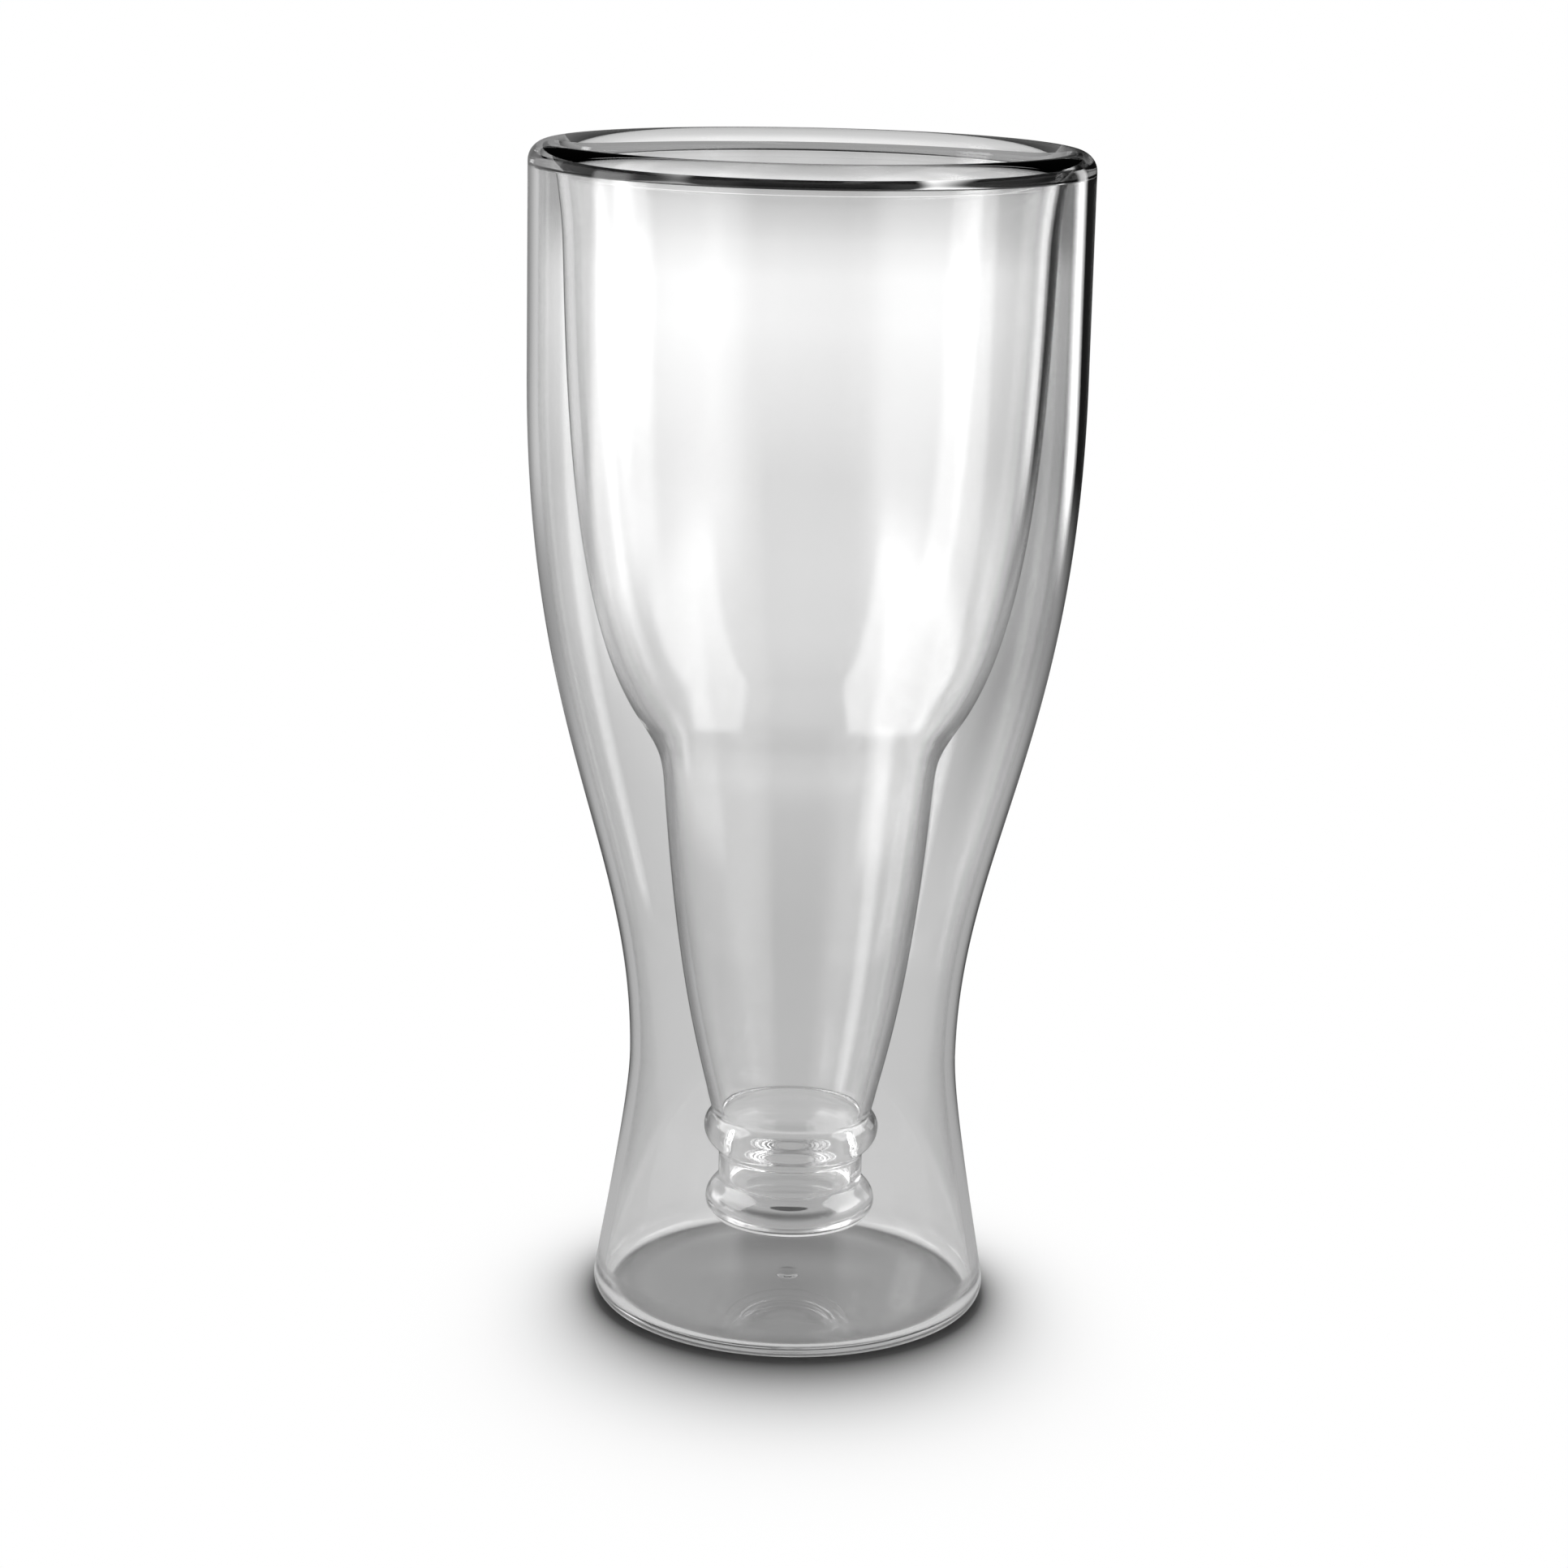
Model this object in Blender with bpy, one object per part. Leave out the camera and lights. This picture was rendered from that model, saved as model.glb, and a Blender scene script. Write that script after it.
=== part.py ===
"""A double-walled beer glass: a bottle-shaped liner hung by its mouth inside a waisted pilsner shell.

Every piece is turned about the Z axis. The glass stands on Z = 0, at its centre, and sizes are in metres.
"""

import math

import bpy
import numpy as np

# Outer shell
HEIGHT = 0.190
RIM_RADIUS = 0.0444
STRAIGHT_WALL = 0.0364
WAIST_HEIGHT = 0.0419
WAIST_RADIUS = 0.0269
FOOT_RADIUS = 0.0325
HEEL_RADIUS = 0.003
HEEL_WALL = 0.003
FOOT_FLARE = math.radians(10.0)
OUTER_WALL = 0.0017

# Fullness of the shell's curves, as parts of the height that each curve spans
BELLY_PULL = 0.522
WAIST_PULL_UP = 0.321
WAIST_PULL_DOWN = 0.156
FLARE_PULL = 0.575

# Fused drinking edge, and the ridged roof that closes the air space under it
RIM_GAP = 0.0028
RIM_THICKNESS = 0.0026
RIM_SKIRT = 0.00165
ROOF_HEIGHT = 0.00085
ROOF_EAVE = 0.0003
ROOF_PULL = 0.6

# Bowl and neck of the liner
INNER_WALL = 0.0017
AIR_GAP = 0.00385
MOUTH_FLARE = 0.0116
BOWL_TAPER = 0.03
BOWL_DEPTH = 0.08635
SHOULDER_STEP = 0.0045
SHOULDER_TAPER = 0.67
SHOULDER_BLEND = 0.0125
NECK_RADIUS = 0.0218
NECK_TAPER = 0.08
NECK_END_RADIUS = 0.0132
NECK_END_TAPER = 0.233

# Fullness of the liner's curves, as parts of the height that each curve spans
MOUTH_PULL = 0.3
BOWL_PULL_TOP = 0.284
BOWL_PULL_END = 0.221
BLEND_PULL = 0.45
NECK_PULL_TOP = 0.595
NECK_PULL_END = 0.19
SWELL_PULL = 0.25
BEAD_PULL = 0.6
GROOVE_PULL = 0.3
LIP_PULL = 0.55

# Bottle-like end of the liner
BEAD_PROUD = 0.0012
BEAD_SHOULDER = 0.00295
BEAD_DROP = 0.00495
GROOVE_HEIGHT = 0.00365
GROOVE_DEPTH = 0.0013
LIP_PROUD = 0.0021
LIP_RISE = 0.0041
LIP_EDGE = 0.0034
FLOOR_THICKNESS = 0.0047
FLOOR_CORNER = 0.003
LIP_CLEARANCE = 0.010

# Base
BASE_THICKNESS = 0.002
STANDING_RING = 0.0055

# Vent through the base and the drop that seals it, which stays clear of the table
VENT_RADIUS = 0.0013
SEAL_OVERLAP = 0.0007
SEAL_CAP = 0.0004
SEAL_BUTTON = 0.0004
SEAL_CLEARANCE = 0.0005

# Air left at every fused joint
FUSE_GAP = 0.0003

# Facets around the glass and along its curves
SEGMENTS = 40
SEAL_SEGMENTS = 16
BODY_STEPS = 12
BOWL_STEPS = 9
CROWN_STEPS = 8
NECK_STEPS = 6
BEND_STEPS = 5
CORNER_STEPS = 4

# Glass
GLASS_IOR = 1.47
FIRE_POLISHED = 0.0
SEAL_ROUGHNESS = 0.05
LINER_TINT = (0.96, 0.96, 0.96)
SHELL_TINT = (0.95, 0.96, 0.96)
BASE_TINT = (0.93, 0.94, 0.94)
SEAL_TINT = (0.90, 0.91, 0.91)

rim_width = OUTER_WALL + RIM_GAP + INNER_WALL
rim_weld = HEIGHT - rim_width / 2 - RIM_SKIRT
rim_inside = RIM_RADIUS - rim_width
heel_tangent = HEEL_RADIUS * (1 + math.sin(FOOT_FLARE))
heel_weld = heel_tangent + HEEL_WALL
disc_radius = FOOT_RADIUS - HEEL_RADIUS
punt_radius = disc_radius - FUSE_GAP - STANDING_RING
punt_height = SEAL_CLEARANCE + SEAL_BUTTON + FUSE_GAP
lip_bottom = BASE_THICKNESS + punt_height + LIP_CLEARANCE
groove_end = lip_bottom + LIP_EDGE + LIP_RISE
groove_top = groove_end + GROOVE_HEIGHT
bead_crest = groove_top + BEAD_DROP
neck_end = bead_crest + BEAD_SHOULDER
groove_radius = NECK_END_RADIUS - GROOVE_DEPTH
bead_radius = NECK_END_RADIUS + BEAD_PROUD


def clear_scene():
    for item in list(bpy.data.objects):
        bpy.data.objects.remove(item)


def clear_glass(name, tint, roughness):
    material = bpy.data.materials.new(name)
    material.use_nodes = True
    shader = material.node_tree.nodes["Principled BSDF"]
    shader.inputs["Base Color"].default_value = (*tint, 1.0)
    shader.inputs["Metallic"].default_value = 0.0
    shader.inputs["Roughness"].default_value = roughness
    shader.inputs["IOR"].default_value = GLASS_IOR
    shader.inputs["Transmission Weight"].default_value = 1.0
    return material


def curve(start, start_pull, end_pull, end, steps):
    """Points of a cubic curve, as rows of radius and height."""
    t = np.linspace(0.0, 1.0, steps + 1)[:, None]
    points = (1 - t) ** 3 * np.array(start) + 3 * (1 - t) ** 2 * t * np.array(start_pull)
    return points + 3 * (1 - t) * t**2 * np.array(end_pull) + t**3 * np.array(end)


def bend(start, end, start_share, end_share, steps):
    """A curve that leaves and arrives straight down, each pull a share of the height it spans."""
    drop = start[1] - end[1]
    start_pull = (start[0], start[1] - start_share * drop)
    end_pull = (end[0], end[1] + end_share * drop)
    return curve(start, start_pull, end_pull, end, steps)


def arc(centre, across, up, first, last, steps):
    """Points of an elliptic arc between two angles, in degrees from the outward direction."""
    angles = np.radians(np.linspace(first, last, steps + 1))
    return np.array(centre) + np.column_stack([across * np.cos(angles), up * np.sin(angles)])


def chained(*stretches):
    """One run of points, with the point that two stretches share kept once."""
    return np.vstack([stretches[0]] + [stretch[1:] for stretch in stretches[1:]])


def thinned(side, wall):
    """The far face of a wall of even thickness behind a side that runs downwards."""
    slope = np.gradient(side[:, 0], side[:, 1])
    return np.column_stack([side[:, 0] - wall * np.hypot(1.0, slope), side[:, 1]])


def turned(name, outline, closed, segments, material):
    """A solid swept round Z from an outline that runs down its outer side."""
    count = len(outline)
    links = [(index, index + 1) for index in range(count - 1)]
    if closed:
        links.append((count - 1, 0))
    mesh = bpy.data.meshes.new(name)
    mesh.from_pydata([(radius, 0.0, height) for radius, height in outline.tolist()], links, [])
    mesh.materials.append(material)
    solid = bpy.data.objects.new(name, mesh)
    bpy.context.collection.objects.link(solid)
    screw = solid.modifiers.new("Turning", "SCREW")
    screw.axis = "Z"
    screw.steps = segments
    screw.render_steps = segments
    screw.use_merge_vertices = True
    screw.merge_threshold = 0.00001
    screw.use_smooth_shade = True
    return solid


def flare_radius(height):
    """Radius of the flared foot's outside, which leaves the heel's curve at its tangent."""
    tangent_radius = FOOT_RADIUS - HEEL_RADIUS * (1 - math.cos(FOOT_FLARE))
    return tangent_radius - math.tan(FOOT_FLARE) * (height - heel_tangent)


def outer_shell():
    """Straight wall, belly, waist and flared foot, open at both ends for its two fused joints."""
    top = rim_weld - FUSE_GAP
    end = heel_weld + FUSE_GAP
    belly = HEIGHT - STRAIGHT_WALL
    drop = WAIST_HEIGHT - end
    waist = (WAIST_RADIUS, WAIST_HEIGHT)
    straight = np.array([(RIM_RADIUS, top), (RIM_RADIUS, belly)])
    body = bend((RIM_RADIUS, belly), waist, BELLY_PULL, WAIST_PULL_UP, BODY_STEPS)
    pull_height = end + FLARE_PULL * drop
    foot = curve(
        waist,
        (WAIST_RADIUS, WAIST_HEIGHT - WAIST_PULL_DOWN * drop),
        (flare_radius(pull_height), pull_height),
        (flare_radius(end), end),
        BEND_STEPS,
    )
    outside = chained(straight, body, foot)
    inside = thinned(outside, OUTER_WALL)
    glass = clear_glass("shell_glass", SHELL_TINT, FIRE_POLISHED)
    return turned("outer_shell", np.vstack([outside, inside[::-1]]), True, SEGMENTS, glass)


def rim_bead():
    """The rounded drinking edge, roofed over the top of the air space and fused to both walls."""
    half = rim_width / 2
    middle = RIM_RADIUS - half
    crown = arc((middle, HEIGHT - half), half, half, 180, 0, CROWN_STEPS)
    reach = RIM_GAP / 2
    air_middle = RIM_RADIUS - OUTER_WALL - reach
    ridge = HEIGHT - RIM_THICKNESS
    eave = ridge - ROOF_HEIGHT
    slope_pull = (ROOF_PULL * reach, ridge - ROOF_PULL * ROOF_HEIGHT)
    slope = curve((reach, eave - ROOF_EAVE), (reach, eave), slope_pull, (0.0, ridge), CORNER_STEPS)
    roof = np.vstack([slope, slope[-2::-1] * (-1.0, 1.0)]) + (air_middle, 0.0)
    foot_out = [(RIM_RADIUS, rim_weld), (air_middle + reach, rim_weld)]
    foot_in = [(air_middle - reach, rim_weld), (rim_inside, rim_weld)]
    outline = np.vstack([crown, foot_out, roof, foot_in])
    glass = clear_glass("rim_glass", SHELL_TINT, FIRE_POLISHED)
    return turned("rim_bead", outline, True, SEGMENTS, glass)


def liner_side():
    """Outside of the liner from its flared mouth to the end of its neck."""
    top = rim_weld - FUSE_GAP
    bowl_top = rim_weld - MOUTH_FLARE
    bowl_radius = RIM_RADIUS - OUTER_WALL - AIR_GAP
    mouth_drop = top - bowl_top
    mouth = curve(
        (rim_inside + INNER_WALL, top),
        (rim_inside + INNER_WALL - MOUTH_PULL * (AIR_GAP - RIM_GAP), top - MOUTH_PULL * mouth_drop),
        (bowl_radius + BOWL_TAPER * mouth_drop / 2, bowl_top + mouth_drop / 2),
        (bowl_radius, bowl_top),
        CORNER_STEPS,
    )
    shoulder = rim_weld - BOWL_DEPTH
    shoulder_radius = NECK_RADIUS + SHOULDER_STEP
    bowl_drop = bowl_top - shoulder
    top_pull = BOWL_PULL_TOP * bowl_drop
    end_pull = BOWL_PULL_END * bowl_drop
    bowl = curve(
        (bowl_radius, bowl_top),
        (bowl_radius - BOWL_TAPER * top_pull, bowl_top - top_pull),
        (shoulder_radius + SHOULDER_TAPER * end_pull, shoulder + end_pull),
        (shoulder_radius, shoulder),
        BOWL_STEPS,
    )
    neck_top = shoulder - SHOULDER_BLEND
    blend_pull = BLEND_PULL * SHOULDER_BLEND
    blend = curve(
        (shoulder_radius, shoulder),
        (shoulder_radius - SHOULDER_TAPER * blend_pull, shoulder - blend_pull),
        (NECK_RADIUS + NECK_TAPER * blend_pull, neck_top + blend_pull),
        (NECK_RADIUS, neck_top),
        CORNER_STEPS,
    )
    neck_drop = neck_top - neck_end
    top_pull = NECK_PULL_TOP * neck_drop
    end_pull = NECK_PULL_END * neck_drop
    neck = curve(
        (NECK_RADIUS, neck_top),
        (NECK_RADIUS - NECK_TAPER * top_pull, neck_top - top_pull),
        (NECK_END_RADIUS + NECK_END_TAPER * end_pull, neck_end + end_pull),
        (NECK_END_RADIUS, neck_end),
        NECK_STEPS,
    )
    return chained(mouth, bowl, blend, neck)


def swell(start, crest_radius):
    """From the slope of the neck's end out to the upright crest of the collar bead."""
    start_pull = SWELL_PULL * BEAD_SHOULDER
    return curve(
        start,
        (start[0] - NECK_END_TAPER * start_pull, start[1] - start_pull),
        (crest_radius, bead_crest + BEAD_PULL * BEAD_SHOULDER),
        (crest_radius, bead_crest),
        BEND_STEPS,
    )


def liner_end():
    """Collar bead, groove and rounded lip at the liner's closed end, down to its middle."""
    lip_radius = groove_radius + LIP_PROUD
    lip_crest = lip_bottom + LIP_EDGE
    bead_above = swell((NECK_END_RADIUS, neck_end), bead_radius)
    bead_end = (groove_radius, groove_top)
    bead_below = bend((bead_radius, bead_crest), bead_end, BEAD_PULL, GROOVE_PULL, BEND_STEPS)
    lip_start = (groove_radius, groove_end)
    lip_above = bend(lip_start, (lip_radius, lip_crest), GROOVE_PULL, LIP_PULL, BEND_STEPS)
    lip_below = arc((lip_radius - LIP_EDGE, lip_crest), LIP_EDGE, LIP_EDGE, 0, -90, BEND_STEPS)
    groove = np.array([bead_below[-1], lip_above[0]])
    middle = np.array([lip_below[-1], (0.0, lip_bottom)])
    return chained(bead_above, bead_below, groove, lip_above, lip_below, middle)


def inner_vessel():
    """The liner: one blown piece that holds the drink, hung from the rim, with a hollow collar bead."""
    side = liner_side()
    inside = thinned(side, INNER_WALL)
    bore = groove_radius - INNER_WALL
    floor = lip_bottom + FLOOR_THICKNESS
    round_off = min(FLOOR_CORNER, bore / 2)
    corner = arc((bore - round_off, floor + round_off), round_off, round_off, -90, 0, CORNER_STEPS)
    hollow_radius = bead_radius - INNER_WALL
    hollow_above = swell(inside[-1], hollow_radius)
    hollow_below = bend((hollow_radius, bead_crest), (bore, groove_top), BEAD_PULL, GROOVE_PULL, BEND_STEPS)
    outside = chained(side, liner_end())
    hollow = chained(inside, hollow_above, hollow_below)
    floor_middle = [(0.0, floor)]
    outline = np.vstack([floor_middle, corner, hollow[::-1], outside])
    glass = clear_glass("liner_glass", LINER_TINT, FIRE_POLISHED)
    return turned("inner_vessel", outline, False, SEGMENTS, glass)


def punt(radius):
    """Rise of the base's gently domed middle."""
    return punt_height * (1 - (radius / punt_radius) ** 2) ** 2


def base_disc():
    """The floor of the shell: a flat standing ring around a low dome with the vent through its middle."""
    radii = np.linspace(punt_radius, VENT_RADIUS, BEND_STEPS + 1)
    dome = np.column_stack([radii, punt(radii)])
    lifted = dome + (0.0, BASE_THICKNESS)
    edge = disc_radius - FUSE_GAP
    outline = np.vstack([[(edge, BASE_THICKNESS), (edge, 0.0)], dome, lifted[::-1]])
    glass = clear_glass("base_glass", BASE_TINT, FIRE_POLISHED)
    return turned("base_disc", outline, True, SEGMENTS, glass)


def heel_bead():
    """The fused ring that turns the flared wall into the base."""
    wall_top = flare_radius(heel_weld)
    flare = math.degrees(FOOT_FLARE)
    heel = arc((disc_radius, HEEL_RADIUS), HEEL_RADIUS, HEEL_RADIUS, flare, -90, BEND_STEPS)
    wall = OUTER_WALL * math.hypot(1.0, math.tan(FOOT_FLARE))
    inside_top = (wall_top - wall, heel_weld)
    corner = curve(
        (disc_radius, BASE_THICKNESS),
        (disc_radius + OUTER_WALL / 2, BASE_THICKNESS),
        (flare_radius(HEEL_RADIUS + OUTER_WALL / 2) - wall, HEEL_RADIUS + OUTER_WALL / 2),
        inside_top,
        CORNER_STEPS,
    )
    outline = np.vstack([[(wall_top, heel_weld)], heel, corner])
    glass = clear_glass("heel_glass", SHELL_TINT, FIRE_POLISHED)
    return turned("heel_bead", outline, True, SEGMENTS, glass)


def vent_seal():
    """A drop of glass through the vent, with a dome inside and a flat button under the base."""
    stem = VENT_RADIUS - FUSE_GAP
    cap = VENT_RADIUS + SEAL_OVERLAP
    cap_foot = punt(VENT_RADIUS) + BASE_THICKNESS + FUSE_GAP
    dome = arc((0.0, cap_foot), cap, SEAL_CAP, 90, 0, CORNER_STEPS)
    button_top = punt(cap) - FUSE_GAP
    button_end = button_top - SEAL_BUTTON
    button = arc((stem, button_end), cap - stem, SEAL_BUTTON, 90, 0, CORNER_STEPS)
    waist = [(stem, cap_foot)]
    middle = [(0.0, button_end)]
    outline = np.vstack([dome, waist, button, middle])
    glass = clear_glass("seal_glass", SEAL_TINT, SEAL_ROUGHNESS)
    return turned("vent_seal", outline, False, SEAL_SEGMENTS, glass)


clear_scene()
inner_vessel()
outer_shell()
rim_bead()
base_disc()
heel_bead()
vent_seal()
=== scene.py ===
import math

import bpy
import numpy as np
from mathutils import Matrix


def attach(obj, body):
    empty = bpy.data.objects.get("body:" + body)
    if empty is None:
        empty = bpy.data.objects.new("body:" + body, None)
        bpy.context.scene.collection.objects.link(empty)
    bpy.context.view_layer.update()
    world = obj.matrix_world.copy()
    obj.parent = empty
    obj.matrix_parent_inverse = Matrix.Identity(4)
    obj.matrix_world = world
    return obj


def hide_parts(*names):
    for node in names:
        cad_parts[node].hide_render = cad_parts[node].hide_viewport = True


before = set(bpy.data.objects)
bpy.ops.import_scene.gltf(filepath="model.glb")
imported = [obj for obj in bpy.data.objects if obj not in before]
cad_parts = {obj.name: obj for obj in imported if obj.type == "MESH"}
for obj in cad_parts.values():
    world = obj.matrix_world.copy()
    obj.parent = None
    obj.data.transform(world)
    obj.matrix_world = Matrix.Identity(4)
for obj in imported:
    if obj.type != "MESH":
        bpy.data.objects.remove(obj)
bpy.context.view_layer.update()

# the glass is measured in millimetres and meshed in metres, and the studio is in metres
perMetre = 1000
perRadian = 180 / math.pi  # in degrees
facets = 200  # round every turned piece
weldReach = 0.001  # how close a face lies to the fused joint it belongs to
sharpAngle = math.radians(35)


def cubic(a, b, c, d, steps):
    # (1-t)^3 a + 3 (1-t)^2 t b + 3 (1-t) t^2 c + t^3 d
    t = np.linspace(0, 1, steps + 1)[:, None]
    a, b, c, d = np.array([a, b, c, d], float)
    return (1 - t) ** 3 * a + 3 * (1 - t) ** 2 * t * b + 3 * (1 - t) * t ** 2 * c + t ** 3 * d


def sweep(start, end, slopes, pulls, steps):
    # a cubic down from start to end, with dr/dz = slopes there and its pulls as shares of the drop
    leave, arrive = np.array(pulls) * (start[1] - end[1])
    first = (start[0] - slopes[0] * leave, start[1] - leave)
    second = (end[0] + slopes[1] * arrive, end[1] + arrive)
    return cubic(start, first, second, end, steps)


def arc(centre, across, up, first, last, steps):
    # centre + (across cos w, up sin w)
    w = np.radians(np.linspace(first, last, steps + 1))
    return np.array(centre) + np.column_stack([across * np.cos(w), up * np.sin(w)])


def chain(*runs):
    # runs end to end, with each shared point kept once
    return np.vstack([runs[0]] + [run[1:] for run in runs[1:]])


def farFace(side, wall):
    # r - wall sqrt(1 + (dr/dz)^2), the other face of an even wall
    slope = np.gradient(side[:, 0], side[:, 1])
    return np.column_stack([side[:, 0] - wall * np.hypot(1, slope), side[:, 1]])


def weldMarks(start, onward, heights, radii):
    # 1 on a stretch that lies flat at one of the heights, or upright at one of the radii
    marks = np.zeros(len(start))
    for column, places in ((0, radii), (1, heights)):
        for place in places:
            starts = abs(start[:, column] - place) < weldReach
            ends = abs(onward[:, column] - place) < weldReach
            marks[starts & ends] = 1
    return marks


def turn(name, outline, ring, heights, radii):
    # (r cos w, r sin w, z); a ring closes on itself, the others start and end on the axis
    w = np.arange(facets) * 2 * math.pi / facets
    rows = outline if ring else outline[1:-1]
    stretches = len(rows) if ring else len(rows) - 1
    r, z = rows.T / perMetre
    points = [np.outer(r, np.cos(w)), np.outer(r, np.sin(w)), np.outer(z, np.ones(facets))]
    points = np.stack(points, 2).reshape(-1, 3)
    index = np.arange(len(rows) * facets).reshape(len(rows), facets)
    upper = index[:stretches]
    lower = np.roll(index, -1, 0)[:stretches]
    quads = np.stack([upper, lower, np.roll(lower, -1, 1), np.roll(upper, -1, 1)], 2).reshape(-1, 4)
    faces = quads.tolist()
    if not ring:
        poles = outline[[0, -1]] / perMetre
        points = np.vstack([points, np.column_stack([np.zeros((2, 2)), poles[:, 1]])])
        first = np.full(facets, len(points) - 2)
        last = np.full(facets, len(points) - 1)
        faces += np.column_stack([first, index[0], np.roll(index[0], -1)]).tolist()
        faces += np.column_stack([index[-1], last, np.roll(index[-1], -1)]).tolist()
    onward = np.roll(rows, -1, 0)[:stretches]
    weld = np.zeros(len(faces))
    weld[:len(quads)] = np.repeat(weldMarks(rows[:stretches], onward, heights, radii), facets)
    mesh = bpy.data.meshes.new(name)
    mesh.from_pydata(points.tolist(), [], faces)
    mesh.attributes.new("weld", "FLOAT", "FACE").data.foreach_set("value", weld)
    mesh.shade_smooth()
    mesh.set_sharp_from_angle(angle=sharpAngle)
    piece = bpy.data.objects.new(name, mesh)
    bpy.context.scene.collection.objects.link(piece)
    return piece


def setStops(elements, stops):
    # a ramp starts with two stops, and grey levels go from place to place
    for place, level in stops[2:]:
        elements.new(place)
    for element, (place, level) in zip(elements, stops):
        element.position = place
        element.color = (level, level, level, 1)


class Wire:
    # a shader socket that takes part in sums like a number
    def __init__(self, tree, socket=None):
        self.tree = tree
        self.socket = socket

    def node(self, kind, settings=None, inputs=None, output=0):
        # settings first, then values or links for the sockets, by name or number
        made = self.tree.nodes.new(kind)
        for key, value in (settings or {}).items():
            if key == "stops":
                setStops(made.color_ramp.elements, value)
            else:
                setattr(made, key, value)
        for key, value in (inputs or {}).items():
            if isinstance(value, Wire):
                self.tree.links.new(value.socket, made.inputs[key])
            else:
                made.inputs[key].default_value = value
        socket = made.outputs[output] if made.outputs else None
        return Wire(self.tree, socket)

    def maths(self, operation, a, b=0.0):
        return self.node("ShaderNodeMath", {"operation": operation}, {0: a, 1: b})

    def __add__(self, other):
        return self.maths("ADD", self, other)

    __radd__ = __add__

    def __sub__(self, other):
        return self.maths("SUBTRACT", self, other)

    def __rsub__(self, other):
        return self.maths("SUBTRACT", other, self)

    def __mul__(self, other):
        return self.maths("MULTIPLY", self, other)

    __rmul__ = __mul__

    def __truediv__(self, other):
        return self.maths("DIVIDE", self, other)

    def __rtruediv__(self, other):
        return self.maths("DIVIDE", other, self)

    def __pow__(self, other):
        return self.maths("POWER", self, other)

    def __rpow__(self, other):
        return self.maths("POWER", other, self)

    def __gt__(self, other):
        return self.maths("GREATER_THAN", self, other)

    def __lt__(self, other):
        return self.maths("LESS_THAN", self, other)

    def to(self, socket):
        self.tree.links.new(self.socket, socket)


def newMaterial(name):
    material = bpy.data.materials.new(name)
    material.use_nodes = True
    return material, Wire(material.node_tree)


def bareMaterial(name):
    material, wire = newMaterial(name)
    wire.tree.nodes.clear()
    return material, wire


def noise(wire, place, scale, detail):
    return wire.node("ShaderNodeTexNoise", {}, {"Vector": place, "Scale": scale, "Detail": detail}, "Fac")


clearGlass = {
    "ior": 1.47, "rough": 0.0, "tint": (0.98, 0.98, 0.98, 1), "deepTint": (0.97, 0.97, 0.97, 1),
    "waveScale": 45.0, "waveDetail": 1.0, "waveStretch": 0.45, "waveHeight": 0.00002,
    "smudge": 0.004, "smudgeScale": 30.0, "smudgeDetail": 3.0, "smudgeSpan": (0.35, 0.7),
}
softGlass = {**clearGlass, "rough": 0.15}  # the heel, reheated when it was fused


def glass(name, look):
    # drawn-out waves bend the light, smudges dull and tint it, and faces inside a fused joint are clear
    material, wire = newMaterial(name)
    shader = wire.tree.nodes["Principled BSDF"]
    shader.inputs["IOR"].default_value = look["ior"]
    shader.inputs["Transmission Weight"].default_value = 1.0
    place = wire.node("ShaderNodeTexCoord", output="Object")
    drawn = wire.node("ShaderNodeMapping", {}, {"Vector": place, "Scale": (1.0, 1.0, look["waveStretch"])})
    wave = noise(wire, drawn, look["waveScale"], look["waveDetail"])
    low, high = look["smudgeSpan"]
    smudge = noise(wire, place, look["smudgeScale"], look["smudgeDetail"])
    smudge = wire.node("ShaderNodeMapRange", {}, {"Value": smudge, "From Min": low, "From Max": high})
    # sockets 6 and 7 are the colours A and B, and output 2 is their mix
    tints = {"Factor": smudge, 6: look["tint"], 7: look["deepTint"]}
    wire.node("ShaderNodeMix", {"data_type": "RGBA"}, tints, 2).to(shader.inputs["Base Color"])
    (smudge * look["smudge"] + look["rough"]).to(shader.inputs["Roughness"])
    bump = wire.node("ShaderNodeBump", {}, {"Strength": 1.0, "Distance": look["waveHeight"], "Height": wave})
    bump.to(shader.inputs["Normal"])
    weld = wire.node("ShaderNodeAttribute", {"attribute_name": "weld"}, output="Fac")
    (1 - weld).to(shader.inputs["Alpha"])
    return material


# outer shell
shell = {
    "height": 190.0, "rim": 44.4, "straight": 36.4, "waistHeight": 41.9, "waist": 26.9, "foot": 32.5,
    "heel": 3.0, "heelWall": 3.0, "flare": math.radians(10.0), "wall": 1.7,
    "bodyPulls": (0.522, 0.321), "footPulls": (0.156, 0.575),
    "straightSteps": 16, "bodySteps": 90, "footSteps": 40,
}
heelTangent = shell["heel"] * (1 + math.sin(shell["flare"]))
heelWeld = heelTangent + shell["heelWall"]


def flareRadius(z):
    # tangent line of the heel's arc
    start = shell["foot"] - shell["heel"] * (1 - math.cos(shell["flare"]))
    return start - math.tan(shell["flare"]) * (z - heelTangent)


def shellOutline():
    # a straight run, a cubic to the waist and one to the flared foot, then the wall's inner face
    belly = shell["height"] - shell["straight"]
    waist = (shell["waist"], shell["waistHeight"])
    foot = (flareRadius(heelWeld), heelWeld)
    heights = np.linspace(rimWeld, belly, shell["straightSteps"] + 1)
    straight = np.column_stack([np.full(len(heights), shell["rim"]), heights])
    body = sweep((shell["rim"], belly), waist, (0, 0), shell["bodyPulls"], shell["bodySteps"])
    flared = sweep(waist, foot, (0, -math.tan(shell["flare"])), shell["footPulls"], shell["footSteps"])
    outside = chain(straight, body, flared)
    return np.vstack([outside, farFace(outside, shell["wall"])[::-1]])


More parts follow.
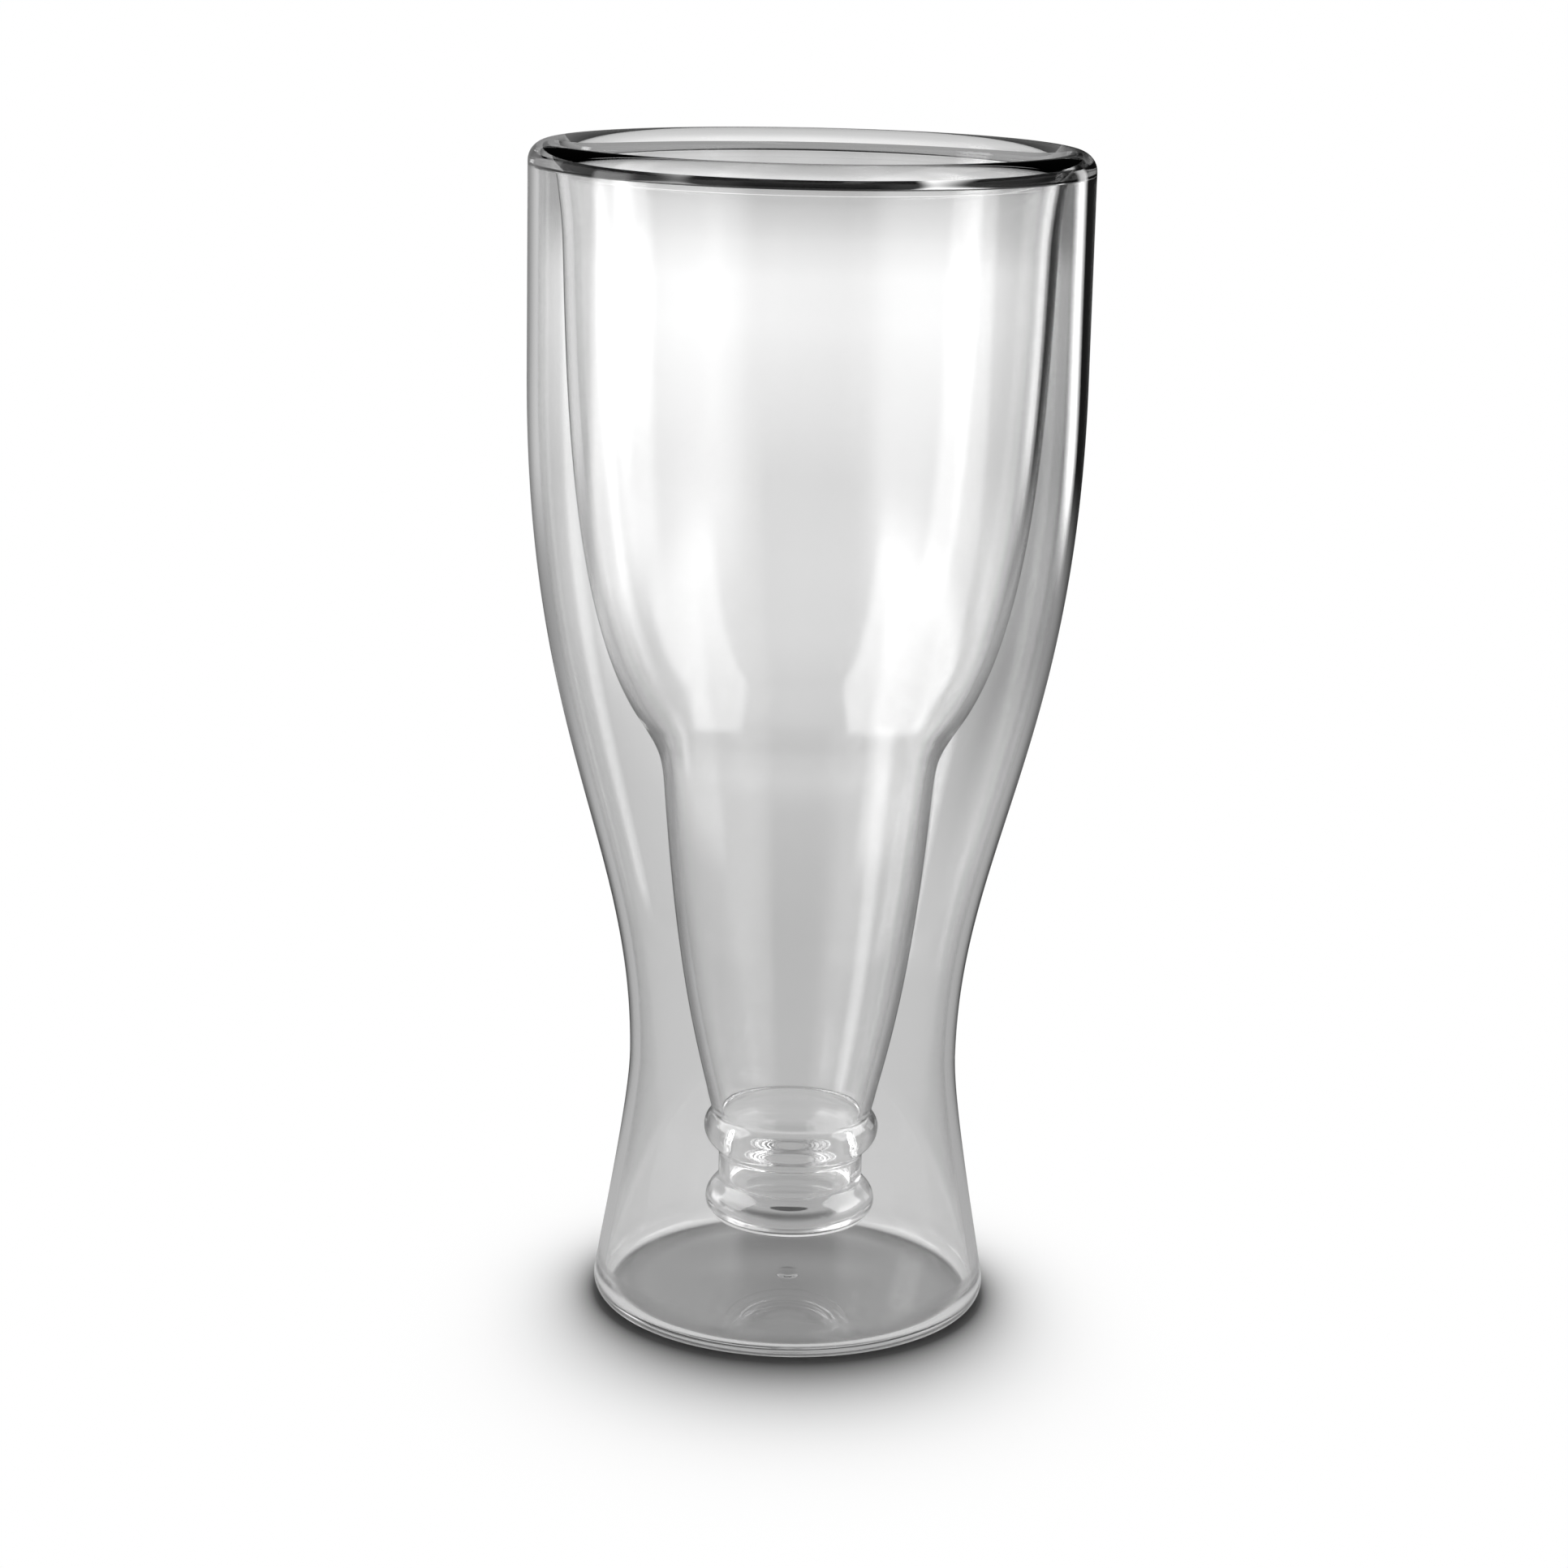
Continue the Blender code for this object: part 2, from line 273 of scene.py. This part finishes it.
# fused rim
edge = {
    "gap": 2.8, "thick": 2.6, "roof": 0.85, "eave": 0.3, "roofPull": 0.6, "crown": 3.1, "skirt": 1.65,
    "crownSteps": 40, "roofSteps": 20,
}
rimWeld = shell["height"] - edge["crown"] - edge["skirt"]


def rimOutline():
    # half an ellipse over both walls, and a cubic roof mirrored over the air between them
    half = rimWidth / 2
    centre = (shell["rim"] - half, shell["height"] - edge["crown"])
    crown = arc(centre, half, edge["crown"], 180, 0, edge["crownSteps"])
    reach = edge["gap"] / 2
    air = shell["rim"] - shell["wall"] - reach
    ridge = shell["height"] - edge["thick"]
    eave = ridge - edge["roof"]
    nearRidge = (edge["roofPull"] * reach, ridge - edge["roofPull"] * edge["roof"])
    slope = cubic((reach, eave - edge["eave"]), (reach, eave), nearRidge, (0, ridge), edge["roofSteps"])
    roof = np.vstack([slope, (slope * (-1, 1))[-2::-1]]) + (air, 0)
    outer = [(shell["rim"], rimWeld), (air + reach, rimWeld)]
    inner = [(air - reach, rimWeld), (rimInside, rimWeld)]
    return np.vstack([crown, outer, roof, inner])


# base disc and the drop of glass that seals its vent
base = {"thick": 2.0, "ring": 5.5, "vent": 2.0, "air": 0.3, "steps": 32}
seal = {"cap": 0.15, "button": 0.4, "lift": 0.5, "steps": 14}
disc = shell["foot"] - shell["heel"]
puntRadius = disc - base["air"] - base["ring"]
puntHeight = seal["lift"] + seal["button"] + base["air"]


def puntRise(r):
    # h (1 - (r/R)^2)^2
    return puntHeight * (1 - (r / puntRadius) ** 2) ** 2


def baseOutline():
    # a flat ring round a punt, as thick all over
    r = np.linspace(puntRadius, base["vent"], base["steps"] + 1)
    punt = np.column_stack([r, puntRise(r)])
    return np.vstack([[(disc, base["thick"]), (disc, 0)], punt, (punt + (0, base["thick"]))[::-1]])


def sealOutline():
    # a drop that swells by h (1 - (r/R)^2)^2 over and under the base's faces
    r = np.linspace(0, base["vent"], seal["steps"] + 1)
    swelling = (1 - (r / base["vent"]) ** 2) ** 2
    over = np.column_stack([r, puntRise(r) + base["thick"] + seal["cap"] * swelling])
    under = np.column_stack([r, puntRise(r) - seal["button"] * swelling])
    return np.vstack([over, under[::-1]])


# fused heel
heel = {"arcSteps": 24, "cornerSteps": 20}


def heelOutline():
    # a quarter round outside, and a cubic from the base's face up to the wall inside
    wallTop = flareRadius(heelWeld)
    wall = shell["wall"] * math.hypot(1, math.tan(shell["flare"]))
    turned = math.degrees(shell["flare"])
    outside = arc((disc, shell["heel"]), shell["heel"], shell["heel"], turned, -90, heel["arcSteps"])
    bendHeight = shell["heel"] + shell["wall"] / 2
    along = (disc + shell["wall"] / 2, base["thick"])
    below = (flareRadius(bendHeight) - wall, bendHeight)
    corner = cubic((disc, base["thick"]), along, below, (wallTop - wall, heelWeld), heel["cornerSteps"])
    return np.vstack([[(wallTop, heelWeld)], outside, corner])


# liner, from its mouth down to the lip of the bottle that it copies
liner = {
    "wall": 1.7, "air": 3.85, "mouth": 11.6, "taper": 0.03, "depth": 86.35, "step": 4.5,
    "shoulderTaper": 0.67, "blend": 12.5, "neck": 21.8, "neckTaper": 0.08, "end": 13.2, "endTaper": 0.233,
    "bead": 1.2, "beadShoulder": 2.95, "beadDrop": 4.95, "groove": 3.65, "grooveDepth": 1.3,
    "lip": 2.1, "lipRise": 4.1, "lipEdge": 3.4, "floor": 4.7, "corner": 3.0, "clear": 10.0,
    "mouthPulls": (0.3, 0.5), "bowlPulls": (0.284, 0.221), "blendPulls": (0.45, 0.45),
    "neckPulls": (0.595, 0.19), "beadPulls": (0.25, 0.6), "groovePulls": (0.6, 0.3), "lipPulls": (0.3, 0.55),
    "mouthSteps": 24, "bowlSteps": 64, "blendSteps": 24, "neckSteps": 48, "beadSteps": 24, "insideSteps": 16,
    "grooveSteps": 20, "lipSteps": 20, "cornerSteps": 16,
}
rimWidth = shell["wall"] + edge["gap"] + liner["wall"]
rimInside = shell["rim"] - rimWidth
lipBottom = base["thick"] + puntHeight + liner["clear"]
lipCrest = lipBottom + liner["lipEdge"]
grooveEnd = lipCrest + liner["lipRise"]
grooveTop = grooveEnd + liner["groove"]
beadCrest = grooveTop + liner["beadDrop"]
neckEnd = beadCrest + liner["beadShoulder"]
grooveRadius = liner["end"] - liner["grooveDepth"]


def linerSide():
    # four cubics down the outside: mouth, bowl, the blend round the shoulder, and neck
    bowlTop = rimWeld - liner["mouth"]
    shoulder = rimWeld - liner["depth"]
    mouthPlace = (rimInside + liner["wall"], rimWeld)
    bowlPlace = (shell["rim"] - shell["wall"] - liner["air"], bowlTop)
    shoulderPlace = (liner["neck"] + liner["step"], shoulder)
    neckPlace = (liner["neck"], shoulder - liner["blend"])
    mouthTaper = (liner["air"] - edge["gap"]) / liner["mouth"]
    tapers = [mouthTaper, liner["taper"], liner["shoulderTaper"], liner["neckTaper"], liner["endTaper"]]
    places = [mouthPlace, bowlPlace, shoulderPlace, neckPlace, (liner["end"], neckEnd)]
    runs = []
    for i, name in enumerate(["mouth", "bowl", "blend", "neck"]):
        pulls = liner[name + "Pulls"]
        runs.append(sweep(places[i], places[i + 1], tapers[i:i + 2], pulls, liner[name + "Steps"]))
    return chain(*runs)


def swell(start, crest, steps):
    # from the neck's slope, out and round to the bead's upright crest
    return sweep(start, (crest, beadCrest), (liner["endTaper"], 0), liner["beadPulls"], steps)


def tuck(crest, waist):
    # from the bead's crest in to the upright groove
    return sweep((crest, beadCrest), (waist, grooveTop), (0, 0), liner["groovePulls"], liner["grooveSteps"])


def linerOutline():
    # up the bore from its floor, then down the outside over bead, groove and lip
    side = linerSide()
    inside = farFace(side, liner["wall"])
    bead = liner["end"] + liner["bead"]
    lip = grooveRadius + liner["lip"]
    bore = grooveRadius - liner["wall"]
    lipAbove = sweep((grooveRadius, grooveEnd), (lip, lipCrest), (0, 0), liner["lipPulls"], liner["lipSteps"])
    lipCentre = (lip - liner["lipEdge"], lipCrest)
    lipBelow = arc(lipCentre, liner["lipEdge"], liner["lipEdge"], 0, -90, liner["lipSteps"])
    beadAbove = swell((liner["end"], neckEnd), bead, liner["beadSteps"])
    end = np.vstack([chain(beadAbove, tuck(bead, grooveRadius)), chain(lipAbove, lipBelow), [(0, lipBottom)]])
    floorHeight = lipBottom + liner["floor"]
    cornerCentre = (bore - liner["corner"], floorHeight + liner["corner"])
    corner = arc(cornerCentre, liner["corner"], liner["corner"], -90, 0, liner["cornerSteps"])
    beadInside = tuck(bead - liner["wall"], bore)[::-1]
    over = swell(inside[-1], bead - liner["wall"], liner["insideSteps"])[::-1]
    return np.vstack([[(0, floorHeight)], corner, chain(beadInside, over, inside[::-1]), side, end[1:]])


def addPiece(name, node, outline, ring, look, heights=(), radii=()):
    piece = turn(name, outline, ring, heights, radii)
    piece.data.materials.append(glass(name, look))
    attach(piece, "root")
    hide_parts(node)
    print("piece", name, len(piece.data.polygons), "faces")


# the joints of fused pieces lie at these heights and radii
addPiece("linerGlass", "inner_vessel", linerOutline(), False, clearGlass, [rimWeld])
addPiece("shellGlass", "outer_shell", shellOutline(), True, clearGlass, [rimWeld, heelWeld])
addPiece("rimGlass", "rim_bead", rimOutline(), True, clearGlass, [rimWeld])
addPiece("baseGlass", "base_disc", baseOutline(), True, clearGlass, [], [disc, base["vent"]])
addPiece("heelGlass", "heel_bead", heelOutline(), True, softGlass, [heelWeld], [disc])
addPiece("sealGlass", "vent_seal", sealOutline(), False, clearGlass, [], [base["vent"]])


# what the studio's materials share; azimuths are degrees from the camera's side towards +X
def lightPath(wire, name):
    return wire.node("ShaderNodeLightPath", output=name)


def bounced(wire, kind):
    # 1 on a ray that has had a bounce of this kind on its way
    return lightPath(wire, kind + " Depth") > 0.5


def mirrored(wire):
    # off the glass or inside it
    return bounced(wire, "Glossy")


# faces of glass that a ray has gone through, halfway between counts
depths = {"shell": 2.5, "face": 3.5, "wall": 4.5, "liner": 5.5, "bowl": 6.5}


def deep(wire, level):
    # 1 on a ray that has gone through more faces than this
    return lightPath(wire, "Transmission Depth") > depths[level]


def ramp(wire, value, stops):
    # levels between stops of (place, level), kept at or under 1 in the node
    low, high = stops[0][0], stops[-1][0]
    top = max(level for place, level in stops)
    shares = [((place - low) / (high - low), level / top) for place, level in stops]
    return wire.node("ShaderNodeValToRGB", {"stops": shares}, {"Fac": (value - low) / (high - low)}) * top


def azimuth(wire, x, y):
    # atan2(x, -y)
    return wire.maths("ARCTAN2", x, -1.0 * y) * perRadian


def split(wire, vector):
    # x, y and z
    outputs = wire.node("ShaderNodeSeparateXYZ", {}, {"Vector": vector}).socket.node.outputs
    return [Wire(wire.tree, output) for output in outputs]


def ease(wire, value, low, high):
    # from 0 at low to 1 at high, smoothly
    span = {"Value": value, "From Min": low, "From Max": high}
    return wire.node("ShaderNodeMapRange", {"interpolation_type": "SMOOTHSTEP"}, span)


def blend(low, high, share):
    return low + (high - low) * share


def band(wire, value, low, high, soft):
    # 1 from low to high, with soft ends
    return ease(wire, value, low - soft, low + soft) * (1 - ease(wire, value, high - soft, high + soft))


def emission(wire, level):
    return wire.node("ShaderNodeEmission", {}, {"Color": level})


def mixShader(wire, share, first, second):
    return wire.node("ShaderNodeMixShader", {}, {0: share, 1: first, 2: second})


def dressStage(piece, material, shader):
    shader.node("ShaderNodeOutputMaterial", {}, {"Surface": shader})
    piece.data.materials.append(material)


def plane(name, half, z):
    # a square flat at z
    mesh = bpy.data.meshes.new(name)
    corners = [(-half, -half, z), (half, -half, z), (half, half, z), (-half, half, z)]
    mesh.from_pydata(corners, [], [(0, 1, 2, 3)])
    made = bpy.data.objects.new(name, mesh)
    bpy.context.scene.collection.objects.link(made)
    return made


# the set that the glass mirrors: by azimuth, or under the glass by metres from its axis
mirrors = {
    "ring": [(-180, 0.25), (-168, 0.28), (-160, 0.3), (-154, 0.5), (-150, 0.6), (-120, 0.5), (-98, 0.4),
             (-95, 4.0), (-80, 4.0), (-74, 0.8), (-60, 0.8), (-35, 0.7), (-25, 0.12), (25, 0.12), (35, 0.7),
             (60, 0.8), (80, 0.5), (110, 0.05), (132, 0.02), (136, 2.6), (142, 2.6), (146, 0.01),
             (166, 0.01), (175, 0.02), (180, 0.25)],
    "linerRing": [(-180, 0.04), (-162, 0.05), (-156, 0.85), (-150, 0.95), (-120, 0.5), (-98, 0.5), (-95, 4.0),
                  (-80, 4.0), (-74, 0.8), (-60, 0.8), (-35, 0.7), (-25, 0.12), (25, 0.12), (35, 0.7),
                  (60, 0.8), (80, 0.5), (95, 0.22), (120, 0.2), (125, 0.05), (129, 1.8), (138, 1.8),
                  (142, 0.02), (166, 0.01), (175, 0.02), (180, 0.06)],
    "near": [(-180, 0.4), (-166, 0.14), (-156, 0.3), (-130, 0.4), (-100, 0.9), (-96, 3.0), (-80, 3.0),
             (-74, 1.3), (-35, 1.2), (-25, 0.3), (25, 0.25), (35, 1.0), (80, 1.0), (100, 0.5), (120, 0.35),
             (152, 0.25), (162, 0.08), (172, 0.1), (180, 0.4)],
    "close": [(-180, 0.05), (-162, 0.03), (-156, 0.15), (-148, 0.45), (-35, 0.5), (-25, 0.35), (25, 0.35),
              (35, 0.5), (148, 0.4), (156, 0.12), (162, 0.03), (180, 0.05)],
    "linerClose": [(-180, 0.05), (-157, 0.06), (-144, 0.28), (-130, 0.46), (-35, 0.5), (-25, 0.35),
                   (25, 0.35), (35, 0.5), (130, 0.44), (144, 0.24), (157, 0.05), (180, 0.05)],
    "under": [(0.0, 0.45), (0.0285, 0.45), (0.0305, 0.66), (0.038, 0.66), (0.06, 0.5), (0.1, 0.4)],
    "linerUnder": [(0.0, 0.42), (0.0285, 0.42), (0.0305, 0.55), (0.1, 0.5)],
    "closeSpan": (0.034, 0.042), "nearSpan": (0.2, 0.42), "ringSpan": (0.45, 0.85),
}


def mirrorPair(wire, value, outer, inner, level):
    # what the shell mirrors, and what the liner does on rays that have gone this deep
    outerLevel = ramp(wire, value, mirrors[outer])
    return blend(outerLevel, ramp(wire, value, mirrors[inner]), deep(wire, level))


def mirroredRing(wire, turned):
    # far off
    return mirrorPair(wire, turned, "ring", "linerRing", "shell")


def mirroredFloor(wire, distance, turned):
    # under the glass, close by, near and then far off
    under = mirrorPair(wire, distance, "under", "linerUnder", "wall")
    close = mirrorPair(wire, turned, "close", "linerClose", "wall")
    level = blend(under, close, ease(wire, distance, *mirrors["closeSpan"]))
    level = blend(level, ramp(wire, turned, mirrors["near"]), ease(wire, distance, *mirrors["nearSpan"]))
    return blend(level, mirroredRing(wire, turned), ease(wire, distance, *mirrors["ringSpan"]))


# what shows straight through the glass: by metres from its axis, with a painted shadow under the foot and
# near the glass, and side cards by azimuth
backdrop = {
    # painted shadow under the foot, darkest at its edge, with a painted lit ring just outside it; rays
    # through the liner see one plain level there
    "paintedShadeBeneath": [(0.0, 0.2), (0.012, 0.26), (0.024, 0.28), (0.0283, 0.18), (0.0293, 0.16), (0.0305, 0.7),
                (0.034, 0.7), (0.04, 0.6), (0.1, 0.6)],
    "linerShadeBeneath": 0.5,
    # behind the glass: a painted shadow darkens the floor near it, and a band farther off is brighter
    "behind": [(0.0, 0.6), (0.19, 0.6), (0.33, 0.68), (0.43, 0.79), (0.535, 0.91), (0.68, 0.96), (0.86, 0.97),
               (1.06, 1.1), (1.4, 1.28), (1.64, 1.28), (1.9, 1.1), (2.15, 0.74), (4.0, 0.6)],
    "behindSpan": (0.05, 0.1),
    "cards": [(-180, 1.0), (-175, 0.95), (-169, 0.8), (-155, 0.95), (-145, 1.0), (138, 1.0), (145, 0.33),
              (169, 0.33), (174, 0.85), (180, 1.0)],
    "cardSpan": (0.2, 0.5), "cardDeep": (1.65, 2.0), "cardClear": 0.65,
}


def sideCards(wire, turned):
    # fainter through the liner than beside it
    return blend(ramp(wire, turned, backdrop["cards"]), 1.0, deep(wire, "liner") * backdrop["cardClear"])


def straightFloor(wire, distance, turned):
    # painted shade under the glass, then behind it between the cards, which darken twice over far off, with a
    # painted shadow near the glass
    card = blend(1.0, sideCards(wire, turned), ease(wire, distance, *backdrop["cardSpan"]))
    card = card * blend(1.0, card, ease(wire, distance, *backdrop["cardDeep"]))
    paintedShadeBeneath = blend(ramp(wire, distance, backdrop["paintedShadeBeneath"]), backdrop["linerShadeBeneath"], deep(wire, "liner"))
    behind = ramp(wire, distance, backdrop["behind"]) * card
    return blend(paintedShadeBeneath, behind, ease(wire, distance, *backdrop["behindSpan"]))


# pale paper floor, a hair under the glass, with a painted contact shadow round the foot
paper = {
    "half": 20.0, "height": -0.00005, "tone": 0.9, "grain": 0.01, "grainScale": 4.0, "grainDetail": 2.0,
    # painted contact shadow: its strength and its widths beside and in front of the foot; then the widths of
    # the camera's whitening
    "paintedShadow": 0.85, "paintedShadowSide": 0.0035, "paintedShadowFront": 0.009, "fadeSide": 0.0145, "fadeFront": 0.032,
    "centre": 0.001,  # keeps the front's share from a division by zero on the axis
}


def litPaper(wire, place, y, distance):
    # darkened by a painted contact shadow exp(-d/w) and whitened for the camera by 1 - exp(-(d/w)^2), d
    # outside the foot
    front = wire.maths("MAXIMUM", -1.0 * y / (distance + paper["centre"]), 0.0) ** 2.0
    beside = wire.maths("MAXIMUM", distance - shell["foot"] / perMetre, 0.0)
    paintedShadowWidth = blend(paper["paintedShadowSide"], paper["paintedShadowFront"], front)
    fadeWidth = blend(paper["fadeSide"], paper["fadeFront"], front)
    # painted contact shadow, darkest at the foot and fading outward
    paintedShadow = wire.maths("EXPONENT", -1.0 * beside / paintedShadowWidth)
    fade = 1 - wire.maths("EXPONENT", -1.0 * (beside / fadeWidth) ** 2.0)
    grain = noise(wire, place, paper["grainScale"], paper["grainDetail"])
    tone = grain * paper["grain"] + (paper["tone"] - paper["grain"] / 2)
    lit = wire.node("ShaderNodeBsdfDiffuse", {}, {"Color": tone * (1 - paintedShadow * paper["paintedShadow"])})
    white = emission(wire, (1.0, 1.0, 1.0, 1.0))
    return mixShader(wire, fade * lightPath(wire, "Is Camera Ray"), lit, white)


def dressFloor(floor):
    # the camera sees lit paper, and rays through or off the glass see the set
    material, wire = bareMaterial("paper")
    place = wire.node("ShaderNodeTexCoord", output="Object")
    x, y = split(wire, place)[:2]
    distance = wire.maths("SQRT", x * x + y * y)
    turned = azimuth(wire, x, y)
    straight = lightPath(wire, "Is Transmission Ray") * (1 - bounced(wire, "Diffuse"))
    behind = emission(wire, straightFloor(wire, distance, turned))
    shader = mixShader(wire, straight, litPaper(wire, place, y, distance), behind)
    shader = mixShader(wire, mirrored(wire), shader, emission(wire, mirroredFloor(wire, distance, turned)))
    dressStage(floor, material, shader)


dressFloor(plane("floor", paper["half"], paper["height"]))
print("floor laid")

# card over the rim, which only rays mirrored by the rim see; gaps are first x, last x and level
overhead = {
    "half": 0.2, "height": 0.24, "dark": 0.004, "lit": 0.35,
    "litFrom": (0.035, 0.06), "litEnds": (0.025, 0.042),
    "gaps": [(-0.058, -0.036, 0.35), (0.032, 0.058, 1.2)], "gapSoft": 0.003, "gapEnd": (-0.01, 0.01),
}


def dressCard(card):
    # dark over the near half of the rim but for its gaps, and lit over the far half
    material, wire = bareMaterial("card")
    x, y = split(wire, wire.node("ShaderNodeTexCoord", output="Object"))[:2]
    middle = 1 - ease(wire, wire.maths("ABSOLUTE", x), *overhead["litEnds"])
    level = overhead["dark"] + ease(wire, y, *overhead["litFrom"]) * middle * overhead["lit"]
    front = 1 - ease(wire, y, *overhead["gapEnd"])
    for first, last, bright in overhead["gaps"]:
        level = level + band(wire, x, first, last, overhead["gapSoft"]) * front * bright
    seen = mirrored(wire) * (1 - deep(wire, "shell"))
    unseen = wire.node("ShaderNodeBsdfTransparent")
    dressStage(card, material, mixShader(wire, seen, unseen, emission(wire, level)))


overheadCard = plane("overheadCard", overhead["half"], overhead["height"])
overheadCard.visible_camera = False
overheadCard.visible_diffuse = False
overheadCard.visible_shadow = False
dressCard(overheadCard)
print("card hung")

# world: lamps that mirrored rays see are azimuths, elevations and level
studio = {
    "level": 0.66, "shade": 0.85, "sky": 0.006, "skySpan": (0.12, 0.35), "top": 0.45, "lampSoft": 4,
    "windows": [(-135, -45, 8, 55, 4.0), (55, 110, 8, 55, 3.0),
                (-75, -45, 57, 72, 4.0), (45, 75, 57, 72, 4.0)],
    "sparks": [(-120, -70, 15, 60, 6.0), (70, 120, 15, 60, 6.0)],
}


def lamps(wire, turned, rise, places):
    # bands of azimuth times bands of elevation
    soft = studio["lampSoft"]
    return sum(band(wire, turned, first, last, soft) * band(wire, rise, low, top, soft) * bright
               for first, last, low, top, bright in places)


def dressWorld(world):
    # white to the camera, plain light on paper, and the set to rays through or off the glass
    world.use_nodes = True
    wire = Wire(world.node_tree)
    x, y, z = split(wire, wire.node("ShaderNodeTexCoord", output="Generated"))
    high = ease(wire, z, *studio["skySpan"])
    turned = azimuth(wire, x, y)
    rise = wire.maths("ARCSINE", z) * perRadian
    shaded = bounced(wire, "Diffuse") * bounced(wire, "Transmission")
    straight = lightPath(wire, "Is Transmission Ray") * (1 - mirrored(wire))
    backlight = blend(1.0, studio["sky"], high) * sideCards(wire, turned)
    through = backlight * (1 - shaded) + shaded * studio["shade"]
    outerFace = deep(wire, "face") * (1 - deep(wire, "wall"))
    panels = blend(mirroredRing(wire, turned), studio["top"], high)
    panels = panels + lamps(wire, turned, rise, studio["windows"]) * deep(wire, "bowl")
    panels = panels + lamps(wire, turned, rise, studio["sparks"]) * outerFace
    plain = lightPath(wire, "Is Camera Ray") + lightPath(wire, "Is Diffuse Ray") * studio["level"]
    level = plain + straight * through + mirrored(wire) * panels
    level.to(world.node_tree.nodes["Background"].inputs["Color"])


scene = bpy.context.scene
scene.world = bpy.data.worlds.new("studio")
dressWorld(scene.world)

# soft sun from above, which glass neither mirrors nor shows
sunlight = {"level": 0.5, "angle": 30.0, "tilt": 12.0}
sun = bpy.data.lights.new("topSun", "SUN")
sun.energy = sunlight["level"] * math.pi
sun.angle = math.radians(sunlight["angle"])
sunObject = bpy.data.objects.new("topSun", sun)
sunObject.rotation_euler = (math.radians(-sunlight["tilt"]), 0, 0)
sunObject.visible_glossy = False
sunObject.visible_transmission = False
scene.collection.objects.link(sunObject)
print("world and sun lit")

# camera where the photograph was taken: millimetres, degrees, and the focal length in the frame's pixels
shot = {
    "x": -2.364, "distance": 579.9, "height": 229.1, "pitch": 13.75, "roll": 1.23, "focal": 4522.0,
    "frame": 1932.0, "sensor": 36.0,
}
camera = bpy.data.cameras.new("camera")
camera.sensor_width = shot["sensor"]
camera.lens = shot["focal"] * shot["sensor"] / shot["frame"]
eye = bpy.data.objects.new("camera", camera)
scene.collection.objects.link(eye)
stand = Matrix.Translation(np.array((shot["x"], -shot["distance"], shot["height"])) / perMetre)
tilt = Matrix.Rotation(math.radians(90 - shot["pitch"]), 4, "X")
eye.matrix_world = stand @ tilt @ Matrix.Rotation(math.radians(shot["roll"]), 4, "Z")
scene.camera = eye
print("camera set")

# many bounces, for light that goes round inside the walls
scene.view_settings.view_transform = "Standard"
scene.cycles.use_denoising = True
scene.cycles.max_bounces = 32
scene.cycles.transmission_bounces = 24
scene.cycles.glossy_bounces = 24
scene.cycles.diffuse_bounces = 3
